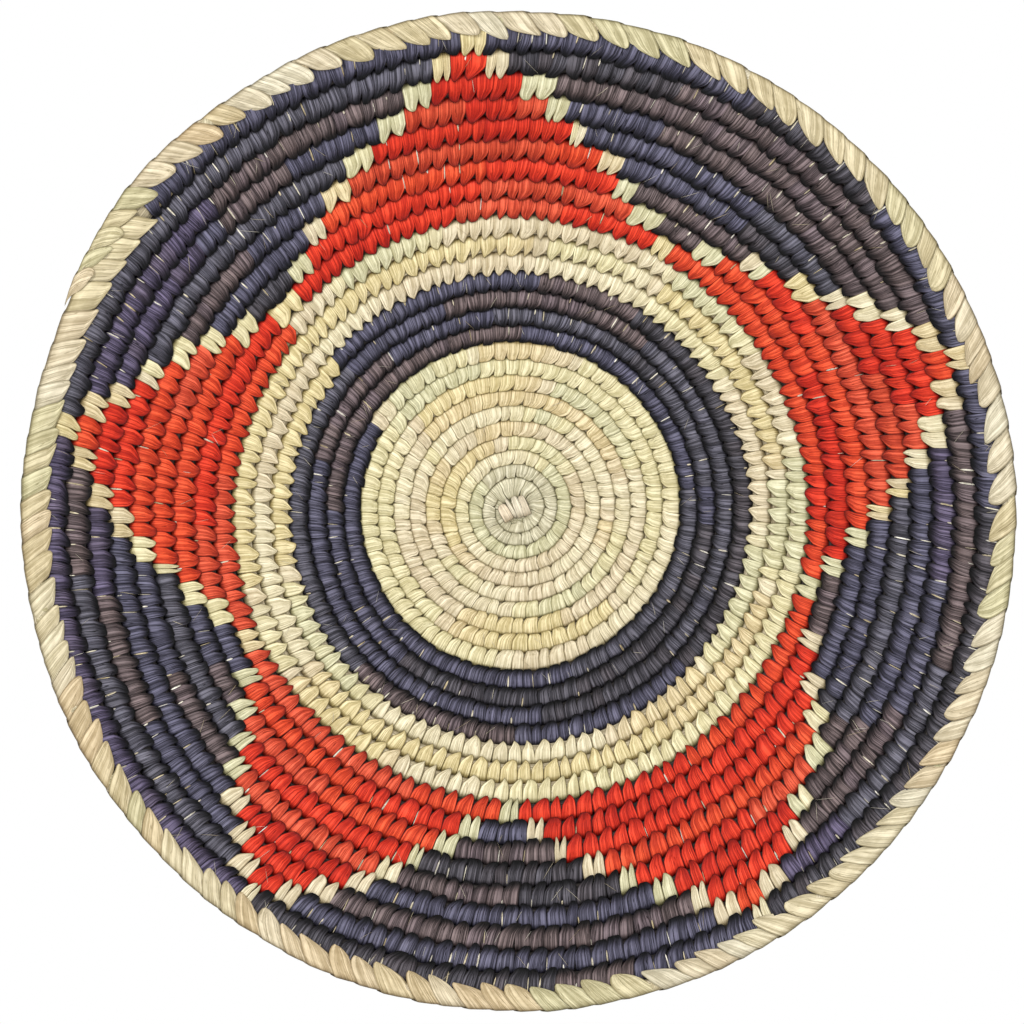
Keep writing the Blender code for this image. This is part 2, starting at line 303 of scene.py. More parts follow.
# %% The strip's faces and its maps
strip_points = np.array([vertex.co for vertex in strip_pattern.data.vertices])
strip_faces = np.array([face.vertices for face in strip_pattern.data.polygons])
bpy.data.objects.remove(strip_pattern)

point_width = np.repeat([width for _, _, width in LOOP], ACROSS)
point_across = np.tile([across for across, _ in COLUMNS], STATIONS)
point_outward = np.repeat(outward, ACROSS, 0)
UNDERSIDE = (2, 3)  # the faces of each station that lie against the bundle

strip_map = []
for station in range(STATIONS):
    for column in range(ACROSS):
        left = 0.5 + COLUMNS[column][0]
        right = 0.5 + COLUMNS[(column + 1) % ACROSS][0]
        if column in UNDERSIDE:
            left = 1.0 + 0.1 * UNDERSIDE.index(column)
            right = left + 0.1
        start, end = station / STATIONS, (station + 1) / STATIONS
        strip_map += [(start, left), (end, left), (end, right), (start, right)]
leaf_strip = (strip_faces, np.array(strip_map))
print("map corners:", len(strip_map))


# %% Many copies as one mesh
DOWN_OVER_ACROSS = 3


def bake_sheet(pattern_map, count):
    """One plot for each copy, about three times as many down the sheet as across it."""
    columns = max(1, round(math.sqrt(count / DOWN_OVER_ACROSS)))
    rows = math.ceil(count / columns)
    plot = np.arange(count)
    margin = 0.03
    inside = margin + (1 - 2 * margin) * pattern_map / pattern_map.max(0)
    corner = np.stack([plot % columns, plot // columns], 1)
    return (corner[:, None, :] + inside[None, :, :]) / (columns, rows)


def add_map(mesh, label, corners):
    mesh.uv_layers.new(name=label).uv.foreach_set("vector", corners.astype(np.float32).ravel())


def add_values(mesh, **values_of):
    for label, values in values_of.items():
        kept = mesh.attributes.new(label, "FLOAT", "POINT")
        kept.data.foreach_set("value", values.astype(np.float32))


def copies(name, pattern, points, tones, look, nodes, dice):
    """One piece made of many bent copies of a pattern, each with its own tone and grain."""
    faces, pattern_map = pattern
    count, each = points.shape[:2]
    mesh = bpy.data.meshes.new(name)
    all_faces = (faces[None] + each * np.arange(count)[:, None, None]).reshape(-1, faces.shape[1])
    mesh.from_pydata(hand_made(points.reshape(-1, 3)).tolist(), [], all_faces.tolist())
    add_map(mesh, "strip", np.tile(pattern_map, (count, 1)))
    add_map(mesh, "OFBake", bake_sheet(pattern_map, count))
    grain = dice.uniform(0.0, 1.0, count)
    add_values(mesh, tone=np.repeat(tones, each), grain=np.repeat(grain, each))
    piece = bpy.data.objects.new(name, mesh)
    bpy.context.scene.collection.objects.link(piece)
    bpy.ops.object.select_all(action="DESELECT")
    piece.select_set(True)
    bpy.context.view_layer.objects.active = piece
    bpy.ops.object.shade_smooth_by_angle(angle=math.radians(50))
    stands_for(piece, look, nodes)
    print(f"{name}: {count} copies")


def stands_for(piece, look, nodes):
    """Give a piece its material, and let it stand for the CAD nodes it is drawn in place of."""
    piece.data.materials.append(look)
    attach(piece, "root")
    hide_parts(*nodes)


# %% [markdown]
# ## Copies along the coil
# Every strip is its own copy of the pattern. The weaver's hand shows in small differences: how wide the
# leaf is, how far its tooth reaches and to which side, how sharp it is, and how it leans and swells.

# %% Lay strips round the coil
SHOULDER_OUT = (0.08, 0.32, 0.51, 0.61)  # where the next row's teeth lie
SHOULDER_UP = (0.445, 0.385, 0.23, 0.02)
TOOTH_ROOT, TOOTH_LENGTH, TOOTH_BED = -0.22, 0.44, 0.40
ROW_EDGE = 0.5  # half a coil width
TIP_AT = 0.49  # the tip on the row before, of a strip that reaches no further
CLEAR_OF_BED = 0.075
OVERLAP = 1.05
ROLLED_EDGE = 0.3  # the rolled edge's share of a narrow strip
TIP_SIDE, TIP_FROM, TIP_OVER = 0.15, -0.08, 0.5  # most tips lie anticlockwise
CROWN_COLUMN, SHOULDER_COLUMNS = 0, [1, 5]
LEAN_VARIES, REACH_VARIES, SHARP_VARIES = 0.09, 0.045, 0.45
TIP_VARIES, SWELL_VARIES, LIFT_VARIES = 0.24, 0.020, 0.010


def set_across(narrow):
    """How far across the points of a strip lie. Its rolled edges keep their width where it narrows."""
    side = np.abs(point_across)
    return np.sign(point_across) * (narrow / 2 - np.minimum(0.5 - side, ROLLED_EDGE * narrow))


def bent_strips(turns, widths, lean, reach, sharp, dice, rough):
    """Points of one strip at each turn: lean is sideways over out, reach is how far past its own row."""
    count = len(turns)
    spread = lambda amount, columns=1: dice.uniform(-amount, amount, (count, columns)) * rough
    lean = np.broadcast_to(lean, count)[:, None] + spread(LEAN_VARIES)
    reach = np.broadcast_to(reach, count)[:, None] + spread(REACH_VARIES)
    sharp = np.broadcast_to(sharp, count)[:, None] * (1 + spread(SHARP_VARIES))
    out, up, across = (np.broadcast_to(strip_points[:, i], (count, len(strip_points))) for i in range(3))

    tooth = np.clip((TOOTH_ROOT - out) / TOOTH_LENGTH, 0.0, 1.0)
    out = np.where(tooth > 0, TOOTH_ROOT - tooth * (reach + (ROW_EDGE + TOOTH_ROOT)), out)
    bed = np.interp(TIP_AT - reach, SHOULDER_OUT, SHOULDER_UP)
    up = np.where(up > 0, up - eased(tooth) * (TOOTH_BED - bed - CLEAR_OF_BED), up)
    narrow = point_width ** sharp
    across = set_across(narrow)

    swell = np.zeros((count, ACROSS))
    swell[:, CROWN_COLUMN] = spread(SWELL_VARIES)[:, 0]
    swell[:, SHOULDER_COLUMNS] = spread(SWELL_VARIES, 2)
    swell = np.tile(swell, STATIONS) * narrow + spread(LIFT_VARIES)
    out = out + swell * point_outward[:, 0]
    up = up + swell * point_outward[:, 1]

    sideways = -across * widths[:, None] * OVERLAP
    sideways += spread(TIP_VARIES) * widths[:, None] * tooth ** 2
    sideways += TIP_SIDE * widths[:, None] * eased((TIP_FROM - out) / TIP_OVER) * (up > 0)
    sideways += lean * -out * coil_frame(turns)[1][:, None]
    middle, pitch, thick, go_out, go_up, _ = frame_beside(turns, sideways)
    return (middle + go_out * (out * pitch)[..., None]
            + go_up * (up * thick / THICKNESS_DRAWN)[..., None])


# %% [markdown]
# Strips are about 4.6 mm wide at the start, 5.4 mm in the middle rows and 7 mm near the rim, and dyed
# dark ones a little less. `edges` cuts a stretch of the coil into strips of that width, none quite like
# the next. Near the centre strips are nearly square, and from row 12 on they are toothed.

# %% Cut a stretch into strips
START_WIDTH, MIDDLE_ADDS, RIM_ADDS = 0.0046, 0.0007, 0.0017
MIDDLE_ROW = 8
UNEVEN = 0.17  # how far a seam may stray, in strips
CUT_STEPS = 400  # a turn


def strip_width(turn):
    return START_WIDTH + MIDDLE_ADDS * np.clip(turn / MIDDLE_ROW, 0, 1) + RIM_ADDS * (turn / EDGE_END) ** 3


def edges(start, end, dice, count=None, width=1.0):
    """The turns where strips meet, from start to end."""
    turn = np.linspace(start, end, max(8, int((end - start) * CUT_STEPS)))
    radius = boundary(turn - 0.5)
    strips = np.concatenate([[0], np.cumsum(
        2 * math.pi * radius[1:] * np.diff(turn) / (width * strip_width(turn[1:])))])
    count = count or max(1, round(strips[-1]))
    cut = np.arange(count + 1.0)
    cut[1:-1] += dice.uniform(-UNEVEN, UNEVEN, count - 1)
    return np.interp(cut / count * strips[-1], strips, turn)


def by_row(turn, *table):
    """A value that changes from row to row, given as (turn, value) pairs."""
    return np.interp(turn, [row for row, _ in table], [value for _, value in table])


def lean_at(turn):
    return by_row(turn, (2, 0.10), (8, 0.06), (12, 0.08), (27, 0.13))


def reach_at(turn):
    to_knot = np.clip(turn - 0.22, 0.0, 0.8)  # row 1 is a fan that reaches in to the knot
    past_row = by_row(turn, (2, 0.05), (9, 0.09), (12, 0.12), (16, 0.16), (26, 0.17))
    return np.where(turn < 1, to_knot, past_row)


def sharp_at(turn):
    """0 leaves a strip square, and 1 draws it in as LOOP says."""
    return by_row(turn, (1, 0.06), (2, 0.08), (7, 0.14), (10, 0.26), (12, 0.7), (15, 1.0), (17, 1.0),
                  (18, 0.65), (26, 0.65))


print("strip widths, mm:", [round(1000 * float(strip_width(row)), 1) for row in (1, 9, 18, 26)])


# %% [markdown]
# Leaves were used up in runs, so neighbours share a tone. Runs seen in the photograph are noted: for each
# row its first tone, and then the degrees where others begin. The other rows' runs are drawn by lot.

# %% Runs noted by row
PALE_TONES = ("green", "straw", "cream", "rose", "tan", "gold")
DARK_TONES = ("navy", "slate", "coal", "brown", "violet")
RED_TONES = ("red", "deep", "orange", "salmon", "clay")

PALE_RUNS = {
    3: "green 410 cream",
    4: "straw 190 cream 245 rose 390 green 425 straw 460 gold",
    5: "gold 205 rose 292 cream 405 rose 435 tan 482 cream",
    6: "gold 184 cream 211 green 235 cream 260 rose 290 cream 333 gold 352 cream 415 green 440 cream",
    7: "green 151 rose 209 green 218 rose 235 cream 265 green 310 straw 345 cream 375 tan",
    8: "cream 186 rose 240 gold 292 cream 303 rose 345 cream 380 green 435 gold 496 straw",
    9: "straw 236 gold 315 straw 460 green",
    10: "straw 265 rose 300 cream 360 straw 426 tan 462 green",
    15: "gold 193 green 228 cream 290 tan 318 green 350 rose 388 straw 415 cream 443 rose 480 cream",
    16: "rose 176 cream 215 gold 300 tan 340 green 365 gold 417 straw 442 gold",
    17: "gold 196 straw 215 gold 240 cream 262 straw 345 green 370 rose 393 green 415 rose 464 green "
        "487 rose",
}
DARK_RUNS = {
    11: "navy 290 slate 365 navy 447 brown",
    12: "brown 182 navy 231 coal 355 navy 365 slate 402 coal 412 slate 455 navy 491 brown",
    13: "brown 165 navy 278 coal 317 slate 413 brown 471 navy",
    14: "slate 226 brown 270 navy 318 coal 418 brown 444 navy",
    19: "coal 196 navy 337 brown 480 coal",
    20: "coal 196 navy 207 brown 300 navy 400 brown 480 navy",
    21: "navy 190 slate 250 coal 330 navy 400 coal 410 navy 496 brown",
    22: "brown 188 navy 206 brown 271 coal 323 brown 327 slate 410 navy 470 slate",
    23: "slate 184 navy 300 brown 329 navy 392 brown 429 navy 484 brown 497 navy",
    24: "violet 193 brown 210 navy 240 brown 331 navy 350 violet 388 brown 494 violet",
    25: "violet 170 brown 188 slate 240 navy 300 violet 316 slate 339 brown 429 coal 455 slate",
    26: "slate 171 violet 236 coal 274 brown 284 navy 302 coal 360 navy 400 coal 420 navy",
}

RED_RUNS = {
    18: "orange 175 salmon 250 orange 271 red 305 orange 357 red 366 orange 419 red 440 salmon "
        "462 red 475 deep",
    19: "red 182 salmon 210 orange 240 red 272 deep 300 red 348 deep 385 orange 423 salmon "
        "440 clay 446 salmon 456 red",
    20: "orange 214 salmon 235 orange 276 red 353 orange 390 red 454 orange",
    21: "salmon 165 orange 219 red 280 orange 358 salmon 392 clay 432 orange 445 clay",
    22: "orange 221 salmon 285 red 308 salmon 361 clay 380 deep",
    23: "red 224 deep 365 salmon 374 deep 442 salmon 450 deep 458 clay",
    24: "deep 228 red 444 deep",
    25: "orange 231 red 296 orange 372 orange 451 red",
}
print("rows with noted runs:", len(PALE_RUNS) + len(DARK_RUNS) + len(RED_RUNS))

# %% A tone for each strip
RUN_SHORTEST, RUN_LONGEST = 4, 16
TONE_VARIES = 0.22  # from one strip to the next, in tones


def tones_at(turns, names, noted, dice):
    """A tone from 0 to 1 for each turn, from the noted runs or else from runs drawn by lot."""
    tones, left, tone, shown = [], 0, 0, None
    softly = 0.5 if names is PALE_TONES else 1.0  # undyed leaf changes little by little
    for turn in turns:
        row = math.ceil(turn)
        if row in noted:
            first, *words = noted[row].split()
            angle = START_ANGLE + 360 * (turn - row + 1)
            begun = [name for start, name in zip(words[::2], words[1::2]) if angle >= float(start)]
            tone = names.index(begun[-1] if begun else first)
        elif left == 0:
            left, tone = dice.integers(RUN_SHORTEST, RUN_LONGEST), dice.integers(0, len(names))
        left = max(0, left - 1)
        shown = tone if shown is None else shown + (tone - shown) * softly
        tones.append((shown + dice.uniform(-TONE_VARIES, TONE_VARIES)) / (len(names) - 1))
    return np.clip(tones, 0.0, 1.0)


# %% Sew some stretches of the coil
EVENLY, ROUGHLY = 1.0, 1.3  # dark strips are sewn more roughly
seams = {}  # the turns where strips of one look meet


def sewn(name, stretches, node, look, seed, names=PALE_TONES, noted={}, count=None, width=1.0, teeth=1.0):
    """Strips on some stretches of the coil, as one piece that stands for a CAD node."""
    dice = np.random.default_rng(seed)
    turns, widths = [], []
    for start, end in stretches:
        cut = edges(start, end, dice, count, width)
        turns.append((cut[1:] + cut[:-1]) / 2)
        seams.setdefault(look.name, []).extend(cut[1:-1])
        widths.append(np.diff(cut) * 2 * math.pi * boundary(turns[-1] - 0.5))
    turns, widths = np.concatenate(turns), np.concatenate(widths)
    points = bent_strips(turns, widths, lean_at(turns), teeth * reach_at(turns), teeth * sharp_at(turns),
                         dice, EVENLY if teeth == 1 else ROUGHLY)
    tones = tones_at(turns, names, noted, dice)
    copies(name, leaf_strip, points, tones, look, [node], dice)


# %% [markdown]
# ## Leaf
# A split leaf has straight fibres and a soft shine, and it creases where it is pulled into its hole. Its
# colour is painted lightest on the crown of the row, with painted shade where it goes down between the
# rows, in its creases and at its seams. The fibres are stretched noise on the strip's own map, moved by the
# copy's grain.
# The tone picks the leaf's colour on a ramp, and a second ramp paints the shade at each station of the
# loop, with one stop more to close it.

# %% Nodes in a few words
def colour(red, green, blue):
    """A colour as seen on a screen, 0 to 255, made linear for the shader."""
    return [((c / 255 + 0.055) / 1.055) ** 2.4 if c > 10 else c / 3295 for c in (red, green, blue)] + [1.0]


class Nodes:
    """Short names for adding and linking nodes."""

    def __init__(self, name):
        self.material = bpy.data.materials.new(name)
        self.material.use_nodes = True
        self.tree = self.material.node_tree
        self.shader = self.tree.nodes["Principled BSDF"]

    def add(self, kind, **values):
        node = self.tree.nodes.new("ShaderNode" + kind)
        for label, value in values.items():
            setattr(node, label, value)
        return node

    def feed(self, socket, value):
        if isinstance(value, bpy.types.NodeSocket):
            self.tree.links.new(value, socket)
        else:
            socket.default_value = value

    def math(self, operation, *values):
        node = self.add("Math", operation=operation)
        for socket, value in zip(node.inputs, values):
            self.feed(socket, value)
        return node.outputs[0]

    def times(self, *values):
        result = values[0]
        for value in values[1:]:
            result = self.math("MULTIPLY", result, value)
        return result

    def ranged(self, value, low, high, to_low=0.0, to_high=1.0):
        node = self.add("MapRange", interpolation_type="SMOOTHSTEP")
        for socket, number in zip(node.inputs, (value, low, high, to_low, to_high)):
            self.feed(socket, number)
        return node.outputs[0]

    def attribute(self, name):
        return self.add("Attribute", attribute_name=name).outputs["Fac"]

    def noise(self, x, y, z, detail=2.0):
        place = self.add("CombineXYZ")
        for socket, value in zip(place.inputs, (x, y, z)):
            self.feed(socket, value)
        node = self.add("TexNoise")
        node.inputs["Scale"].default_value = 1.0
        node.inputs["Detail"].default_value = detail
        node.inputs["Roughness"].default_value = 0.6
        self.feed(node.inputs["Vector"], place.outputs[0])
        return node.outputs["Fac"]

    def ramp(self, share, colours):
        node = self.add("ValToRGB")
        stops = node.color_ramp.elements
        while len(stops) < len(colours):
            stops.new(0.5)
        for i, each in enumerate(colours):
            stops[i].position = i / (len(colours) - 1)
            stops[i].color = each
        self.feed(node.inputs["Fac"], share)
        return node.outputs["Color"]

    def scaled(self, tint, share):
        """A colour made lighter or darker by a number."""
        node = self.add("VectorMath", operation="SCALE")
        self.feed(node.inputs[0], tint)
        self.feed(node.inputs["Scale"], share)
        return node.outputs[0]


# %% The leaf material
# Painted shade along the loop, one value a station and one more to close the ramp: the crown is lightest,
# and the leaf darkens where it goes down between the rows and under the next row's teeth.
PALE_PAINTED_SHADE = (0.05, 0.42, 0.97, 1.0, 1.0, 0.99, 0.96, 0.92, 0.82, 0.50, 0.3, 0.5, 0.9, 1.0, 0.9, 0.10)
RED_PAINTED_SHADE = (0.02, 0.30, 0.96, 1.0, 0.90, 0.80, 0.70, 0.58, 0.42, 0.18, 0.1, 0.3, 0.85, 1.0, 0.85, 0.02)
DARK_PAINTED_SHADE = (0.01, 0.26, 0.95, 1.0, 0.78, 0.50, 0.26, 0.10, 0.03, 0.02, 0.02, 0.1, 0.70, 1.0, 0.70, 0.01)
RIM_PAINTED_SHADE = (0.30, 0.85, 1.0, 1.0, 1.0, 0.98, 0.96, 0.93, 0.88, 0.78, 0.4, 0.5, 0.9, 1.0, 0.95, 0.30)
NO_PAINTED_SHADE = (1.0,) * (STATIONS + 1)
FIBRE_NOISE, CREASE_NOISE, BLOTCH_NOISE = (1.5, 26.0), (0.9, 6.5), (7.0, 2.0)  # along and across the leaf
GRAIN_SHIFT = 60.0  # so far apart that no two leaves look alike


def leaf(slot, tones, loop_shade, roughness=0.5, shine=0.35, contrast=0.5, seam_shadow=0.7, shade_tint=0.8):
    """A leaf strip: tones along a ramp, streaks of fibre, and painted shade in its creases, at its seams
    and along the loop.
    """
    n = Nodes(slot + "_finish")
    place = n.add("SeparateXYZ")
    n.feed(place.inputs[0], n.add("UVMap", uv_map="strip").outputs[0])
    along, across = place.outputs[0], place.outputs[1]
    shift = n.times(n.attribute("grain"), GRAIN_SHIFT)
    grain = lambda size, z, detail: n.noise(n.times(along, size[0]), n.times(across, size[1]), z, detail)
    fibres = grain(FIBRE_NOISE, shift, 3.0)
    creases = grain(CREASE_NOISE, n.math("ADD", shift, 9.0), 1.0)
    blotches = grain(BLOTCH_NOISE, n.math("ADD", shift, 20.0), 2.0)
    streaks = n.math("ADD", n.times(fibres, 0.55), n.times(creases, 0.45))
    # Creases: thin lines of painted shade in the colour, which also dip in the bump.
    from_line = n.math("ABSOLUTE", n.math("SUBTRACT", creases, 0.5))
    crease_dip_and_shade = n.ranged(from_line, 0.0, 0.020, 1.0 - 0.85 * contrast, 1.0)
    # Painted shadow along the strip's edges, which outlines the seams between strips and the teeth.
    off_middle = n.math("ABSOLUTE", n.math("SUBTRACT", across, 0.5))
    edge = n.ranged(off_middle, 0.43, 0.49, 1.0, 1.0 - seam_shadow)
    low, high = 1.0 - 0.8 * contrast, 1.0 + 0.6 * contrast
    # light: fibre streaks and blotches, the leaf's own grain, times painted shade in the creases and
    # painted shadow at the seams.
    light = n.times(n.ranged(streaks, 0.34, 0.66, low, high), n.ranged(blotches, 0.3, 0.7, 0.92, 1.07),
                    crease_dip_and_shade, edge)
    # painted shade along the loop, multiplied into the colour
    painted_loop_shade = n.ramp(along, [(share, share, share, 1.0) for share in loop_shade])
    # Painted shade also deepens and saturates the colour, and the lightest fibre streaks pale it.
    deep = n.add("Gamma")
    n.feed(deep.inputs[0], n.ramp(n.attribute("tone"), tones))
    n.feed(deep.inputs[1], n.ranged(n.times(light, painted_loop_shade), 0.1, 1.3, 1.0 + shade_tint, 1.0 - 0.2 * shade_tint))
    tint = n.scaled(deep.outputs[0], light)
    mixed = n.add("Mix", data_type="RGBA", blend_type="MULTIPLY")
    for socket, value in zip((mixed.inputs["Factor"], mixed.inputs[6], mixed.inputs[7]), (1.0, tint, painted_loop_shade)):
        n.feed(socket, value)
    n.feed(n.shader.inputs["Base Color"], mixed.outputs[2])
    n.feed(n.shader.inputs["Roughness"], n.ranged(streaks, 0.35, 0.65, roughness + 0.12, roughness - 0.06))
    n.shader.inputs["Specular IOR Level"].default_value = shine
    relief = n.add("Bump")
    relief.inputs["Strength"].default_value = 0.8
    relief.inputs["Distance"].default_value = 0.0006
    n.feed(relief.inputs["Height"], n.math("ADD", streaks, n.times(crease_dip_and_shade, 0.5)))
    n.feed(n.shader.inputs["Normal"], relief.outputs[0])
    return n.material


# %% [markdown]
# The colours were chosen one for each named tone. Undyed leaf has painted shade only where it goes down
# between the rows, while dyed leaf has painted shade that darkens it towards its tooth.

# %% Colours of the leaves
def colours(*each):
    return [colour(*one) for one in each]


pale_leaf = leaf("pale_leaf", colours(
    (226, 221, 181), (240, 229, 182), (244, 232, 196), (234, 218, 184), (235, 215, 168), (238, 221, 168)),
    PALE_PAINTED_SHADE, contrast=0.38)
green_leaf = leaf("green_leaf", colours((217, 212, 176), (227, 219, 188), (211, 206, 172)),
                  PALE_PAINTED_SHADE, contrast=0.40)
knot_leaf = leaf("knot_leaf", colours((206, 188, 150), (244, 226, 196), (250, 240, 214)),
                 RIM_PAINTED_SHADE, contrast=0.34, seam_shadow=0.85, shade_tint=0.4)
dark_leaf = leaf("dark_leaf", colours(
    (100, 98, 118), (106, 104, 115), (87, 84, 91), (124, 108, 107), (103, 94, 120)),
    DARK_PAINTED_SHADE, shine=0.18, contrast=1.0, seam_shadow=0.6, shade_tint=0.15)
red_leaf = leaf("red_leaf", colours(
    (241, 66, 38), (223, 51, 28), (243, 85, 46), (238, 95, 64), (219, 80, 49)),
    RED_PAINTED_SHADE, shine=0.25, contrast=0.55, seam_shadow=0.8, shade_tint=0.4)
braid_leaf = leaf("braid_leaf", colours(
    (230, 218, 184), (223, 207, 167), (214, 206, 164), (221, 198, 158), (230, 220, 192)),
    RIM_PAINTED_SHADE, contrast=0.38, seam_shadow=0.45, shade_tint=0.6)
# The first colour is painted shade: the bundle takes it in the grooves of dyed rows.
leaf_fibre = leaf("leaf_fibre", colours(
    (46, 41, 38), (198, 180, 140), (224, 215, 192), (238, 233, 220)),
    NO_PAINTED_SHADE, roughness=0.6, seam_shadow=0.0, shade_tint=0.5)
print("leaf materials:", [m.name for m in bpy.data.materials if m.name.endswith("_finish")])

# %% [markdown]
# ## The pale centre and the two rings
# The coil starts grey-green, turns pale, and changes to dark strips a little after the eleventh row
# begins.

# %% Centre and rings
DARK_START = CENTRE_END + 8.3 / 360

sewn("start_coil_strips", [(0.0, START_END)], "start_coil", green_leaf, 1)
sewn("centre_strips", [(START_END, DARK_START)], "centre_wrap", pale_leaf, 2, noted=PALE_RUNS)
sewn("dark_ring_strips", [(DARK_START, DARK_RING_END)], "dark_ring_wrap", dark_leaf, 3, DARK_TONES,
     DARK_RUNS, width=0.95, teeth=0.6)
sewn("pale_ring_strips", [(DARK_RING_END, PALE_RING_END)], "pale_ring_wrap", pale_leaf, 4, noted=PALE_RUNS)

# %% [markdown]
# ## The star
# Each row of a point is a few strips shorter than the row before, and two pale strips at each end draw
# its outline. Counting the strips of the real basket gave these angles, in degrees anticlockwise: for
# each point, where its outline starts, where its red starts and ends, and where its outline ends.

# %% The star's steps
VALLEY_ROW = PALE_RING_END + 1
VALLEYS = ((204, 208.5), (267, 270.5), (343, 347), (419, 422.5), (495.5, 502))
STAR = {
    19: ((142, 142, 196.5, 201.5), (210.5, 213.5, 260, 263.5), (272, 275, 334.5, 337.5),
         (348, 351, 410.5, 415.5), (423, 428.5, 489.5, 494)),
    20: ((144, 149, 192.5, 196.5), (214.5, 218, 256.5, 260), (276.5, 278.5, 327.5, 331),
         (353.5, 356.5, 403, 407.5), (429, 432.5, 484, 487.5)),
    21: ((149.5, 153, 189, 190.5), (219, 221.3, 253, 255), (280.5, 284, 323.5, 327),
         (358, 360.3, 395, 400), (432.5, 436.3, 477.2, 482)),
    22: ((153, 157, 184.5, 188.3), (221.3, 224, 249, 252.5), (285.5, 288, 319, 323),
         (361.5, 364.4, 391.6, 394.4), (439.4, 441.5, 472, 476.6)),
    23: ((158, 161.3, 180, 184.4), (224, 227.6, 245.8, 249), (289.6, 292.8, 312.5, 316),
         (365.6, 368.4, 387.5, 391.9), (442.5, 445.6, 466, 470)),
    24: ((162.4, 165.3, 176.7, 180), (228.5, 231, 241.4, 245), (294, 296.3, 309.1, 312),
         (368.1, 372.5, 384.6, 387.8), (444.6, 449.3, 461.6, 465.4)),
    25: ((164.6, 167.8, 172, 174.8), (231, 234.3, 238.3, 240.9), (295.9, 299.3, 302.6, 306.3),
         (372.6, 376.6, 380.4, 384.3), (451, 453.9, 458.5, 460.8)),
}
TIPS = ((168, 171), (234.5, 236.3), (300, 302.2), (377, 380), (453.7, 456.8))
POINTS = len(TIPS)


def turn_at(row, degrees):
    return row - 1 + (degrees - START_ANGLE) / 360


def next_start(row, point, table):
    """Where the next point starts, which is in the next row after the last point."""
    row, point = (row, point + 1) if point + 1 < POINTS else (row + 1, 0)
    return turn_at(row, table[row][point][0])


# %% Points, outlines and fields
tip_table = {EDGE_END: TIPS}
dark = dict(look=dark_leaf, names=DARK_TONES, noted=DARK_RUNS, width=0.92, teeth=0.65)
for point in range(POINTS):
    number = point + 1
    red_node, dark_node = f"star_point_{number}", f"dark_field_{number}"
    valley = [turn_at(VALLEY_ROW, degrees) for degrees in VALLEYS[point]]
    before = turn_at(VALLEY_ROW, VALLEYS[point - 1][1] if point else START_ANGLE)
    red, outline, field = [(before, valley[0])], [], []
    for row, steps in STAR.items():
        first, red_start, red_end, last = (turn_at(row, degrees) for degrees in steps[point])
        red.append((red_start, red_end))
        outline += [(first, red_start), (red_end, last)] if red_start > first else [(red_end, last)]
        ends = STAR if row < EDGE_END - 1 else STAR | tip_table
        field.append((last, next_start(row, point, ends)))
    sewn(f"{red_node}_strips", red, red_node, red_leaf, 10 + point, RED_TONES, RED_RUNS)
    sewn(f"{red_node}_outline", outline, red_node, pale_leaf, 20 + point, count=2)
    sewn(f"{dark_node}_strips", field, dark_node, seed=30 + point, **dark)
    sewn(f"valley_block_{number}_strips", [valley], f"valley_block_{number}", pale_leaf, 40 + point,
         count=2)
    tip = [turn_at(EDGE_END, degrees) for degrees in TIPS[point]]
    sewn(f"tip_block_{number}_strips", [tip], f"tip_block_{number}", pale_leaf, 50 + point, count=2)
    edge = (tip[1], turn_at(EDGE_END, TIPS[number][0]) if number < POINTS else EDGE_END)
    sewn(f"edge_wrap_{number}_strips", [edge], f"edge_wrap_{number}", seed=60 + point, **dark)

# %% [markdown]
# ## The rim
# Wide leaves are whipped over the last row at a steep slant, each partly over the one before, like a
# braid. Each starts as a point on the row before, opens like a fan and runs off over the edge two or three
# leaves further on. The ring pattern serves again, with its own stations. Narrow strands cross beneath the
# leaves the other way and show in the gaps.
#
# Each row of RIM_LOOP is a station: out in half coil widths and mm, up in half thicknesses and mm, and
# the leaf's two edges along the coil in mm.

# %% Rim leaf, as a loop
RIM_LOOP = np.array((
    (1.00, 0.0, 0.04, 0.0, 6.6, 19.0),
    (0.86, 0.0, 0.55, 0.0, 5.7, 18.4),
    (0.50, 0.0, 0.90, 0.0, 4.4, 17.3),
    (0.10, 0.0, 1.03, 0.0, 3.2, 15.9),
    (-0.35, 0.0, 1.03, 0.1, 2.2, 14.6),
    (-0.80, 0.0, 0.70, 1.1, 1.3, 13.2),
    (-1.00, -0.8, 0.25, 2.9, 0.6, 11.4),
    (-1.00, -2.0, 0.05, 4.1, 0.2, 9.1),
    (-1.00, -3.2, 0.00, 4.65, 0.1, 6.5),
    (-1.00, -4.2, 0.00, 4.8, 0.6, 3.9),  # the blunt point
    (-1.00, -4.1, 0.00, 1.0, 0.7, 3.6),
    (-1.00, -1.2, -0.60, 0.0, 0.5, 8.0),
    (-0.70, 0.0, -0.95, 0.0, 0.8, 12.5),
    (0.05, 0.0, -1.02, 0.0, 2.5, 15.5),
    (0.75, 0.0, -0.72, 0.0, 4.8, 18.0),
))
RIM_LIFTS = (0.16, 0.10, -0.22, -0.22, -0.22, 0.10)  # mm, at each of COLUMNS
RIM_HALF_WIDTH, RIM_HALF_THICK = 3.2, 2.7  # mm, what RIM_LOOP is drawn for
RIM_FULL_WIDTH, RIM_TIP_LENGTH = 12.0, 4.3  # mm

rim_ring = np.stack([RIM_LOOP[:, 0] * RIM_HALF_WIDTH + RIM_LOOP[:, 1],
                     RIM_LOOP[:, 2] * RIM_HALF_THICK + RIM_LOOP[:, 3]], 1)
rim_points = np.repeat(np.hstack([RIM_LOOP, outward_of(rim_ring)]), ACROSS, 0)
rim_lift = np.tile(RIM_LIFTS, STATIONS)
print("rim leaf:", len(rim_points), "points")

# %% Bend rim leaves over the edge
MIDDLE_VARIES = 0.10  # as a share, and the next three in mm
POINT_VARIES, RIM_LIFT_VARIES, RIM_TILT_VARIES = 1.6, 0.12, 0.3


